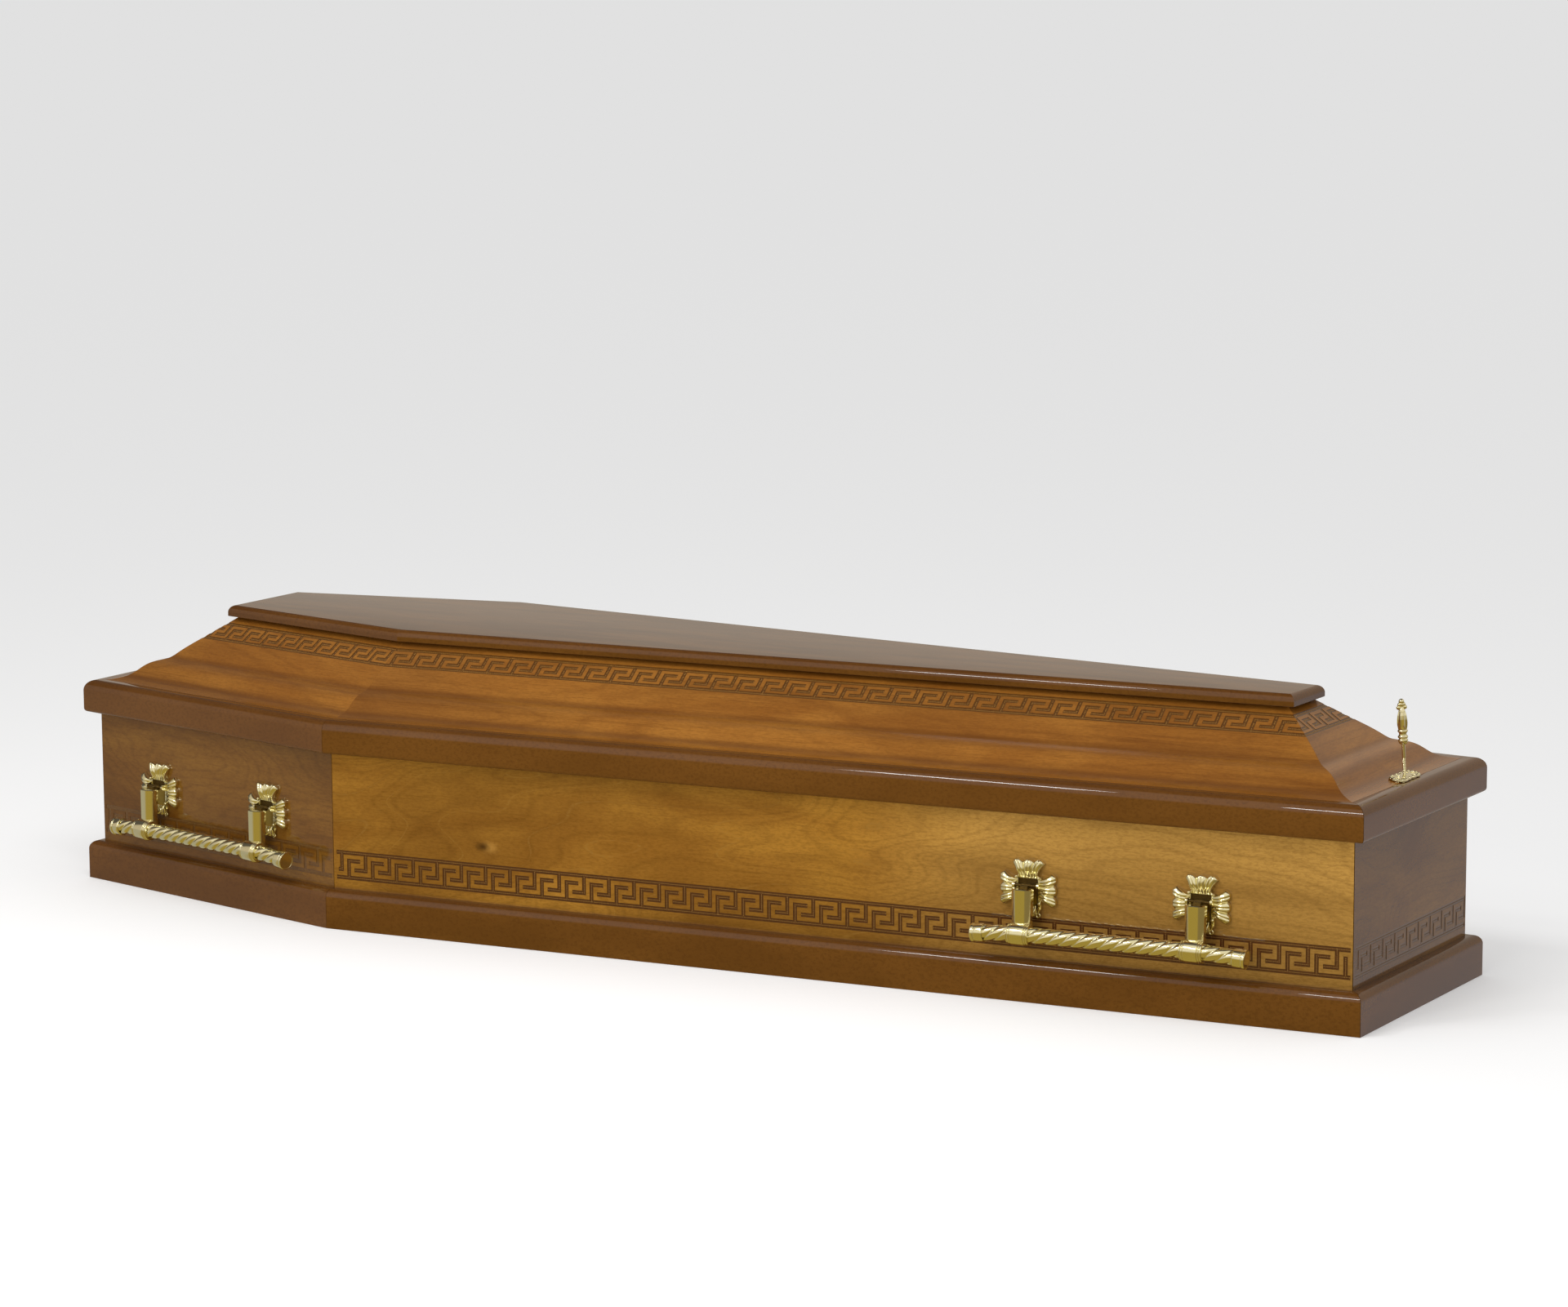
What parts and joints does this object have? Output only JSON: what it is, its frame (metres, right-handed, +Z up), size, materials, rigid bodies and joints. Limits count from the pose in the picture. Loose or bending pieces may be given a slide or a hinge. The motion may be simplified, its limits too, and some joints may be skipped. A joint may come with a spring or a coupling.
{
  "type": "coffin",
  "caption": "Six-sided wooden coffin with a moulded raised lid, pressed key-pattern bands, gilt drop handles with crosses and an ornamental lid screw.",
  "frame": {"origin": "middle of the underside", "axes": "+X along the length to the foot end, +Z up, left side at -Y"},
  "size_m": [2.039, 0.6825, 0.402],
  "materials": {
    "veneer": "golden-brown veneer under high-gloss lacquer",
    "lid_wood": "orange-brown veneer under high-gloss lacquer",
    "dark_wood": "dark brown stain under high-gloss lacquer",
    "gilt": "pale polished gilt plating"
  },
  "bodies": {
    "coffin": {"floor_board": "veneer", "wall_shoulder_left": "veneer", "wall_side_left": "veneer", "wall_foot": "veneer", "wall_side_right": "veneer", "wall_shoulder_right": "veneer", "wall_head": "veneer", "plinth_shoulder_left": "dark_wood", "plinth_side_left": "dark_wood", "plinth_foot": "dark_wood", "plinth_side_right": "dark_wood", "plinth_shoulder_right": "dark_wood", "plinth_head": "dark_wood", "lid_rim_shoulder_left": "dark_wood", "lid_rim_side_left": "dark_wood", "lid_rim_foot": "dark_wood", "lid_rim_side_right": "dark_wood", "lid_rim_shoulder_right": "dark_wood", "lid_rim_head": "dark_wood", "lid_slope_shoulder_left": "lid_wood", "lid_slope_side_left": "lid_wood", "lid_slope_foot": "lid_wood", "lid_slope_side_right": "lid_wood", "lid_slope_shoulder_right": "lid_wood", "lid_slope_head": "lid_wood", "lid_top_board": "dark_wood", "coffin_screw": "gilt", "screw_rosette": "gilt", "handle_shoulder_left_cross_left": "gilt", "handle_shoulder_left_cross_right": "gilt", "handle_side_left_cross_left": "gilt", "handle_side_left_cross_right": "gilt", "handle_side_right_cross_left": "gilt", "handle_side_right_cross_right": "gilt", "handle_shoulder_right_cross_left": "gilt", "handle_shoulder_right_cross_right": "gilt"},
    "handle_shoulder_left": {"handle_shoulder_left_arm_left": "gilt", "handle_shoulder_left_arm_right": "gilt", "handle_shoulder_left_bar": "gilt", "handle_shoulder_left_cap_left": "gilt", "handle_shoulder_left_cap_right": "gilt"},
    "handle_side_left": {"handle_side_left_arm_left": "gilt", "handle_side_left_arm_right": "gilt", "handle_side_left_bar": "gilt", "handle_side_left_cap_left": "gilt", "handle_side_left_cap_right": "gilt"},
    "handle_side_right": {"handle_side_right_arm_left": "gilt", "handle_side_right_arm_right": "gilt", "handle_side_right_bar": "gilt", "handle_side_right_cap_left": "gilt", "handle_side_right_cap_right": "gilt"},
    "handle_shoulder_right": {"handle_shoulder_right_arm_left": "gilt", "handle_shoulder_right_arm_right": "gilt", "handle_shoulder_right_bar": "gilt", "handle_shoulder_right_cap_left": "gilt", "handle_shoulder_right_cap_right": "gilt"}
  },
  "joints": [
    {"name": "handle_shoulder_left_hinge", "type": "hinge", "parent": "coffin", "child": "handle_shoulder_left", "pos_m": [-0.75231, -0.267, 0.1539], "axis": [-0.9777, 0.2102, 0], "range_deg": [0, 90]},
    {"name": "handle_side_left_hinge", "type": "hinge", "parent": "coffin", "child": "handle_side_left", "pos_m": [0.67854, -0.22243, 0.1539], "axis": [-0.9965, -0.0834, 0], "range_deg": [0, 90]},
    {"name": "handle_side_right_hinge", "type": "hinge", "parent": "coffin", "child": "handle_side_right", "pos_m": [0.67854, 0.22243, 0.1539], "axis": [0.9965, -0.0834, 0], "range_deg": [0, 90]},
    {"name": "handle_shoulder_right_hinge", "type": "hinge", "parent": "coffin", "child": "handle_shoulder_right", "pos_m": [-0.75231, 0.267, 0.1539], "axis": [0.9777, 0.2102, 0], "range_deg": [0, 90]}
  ]
}
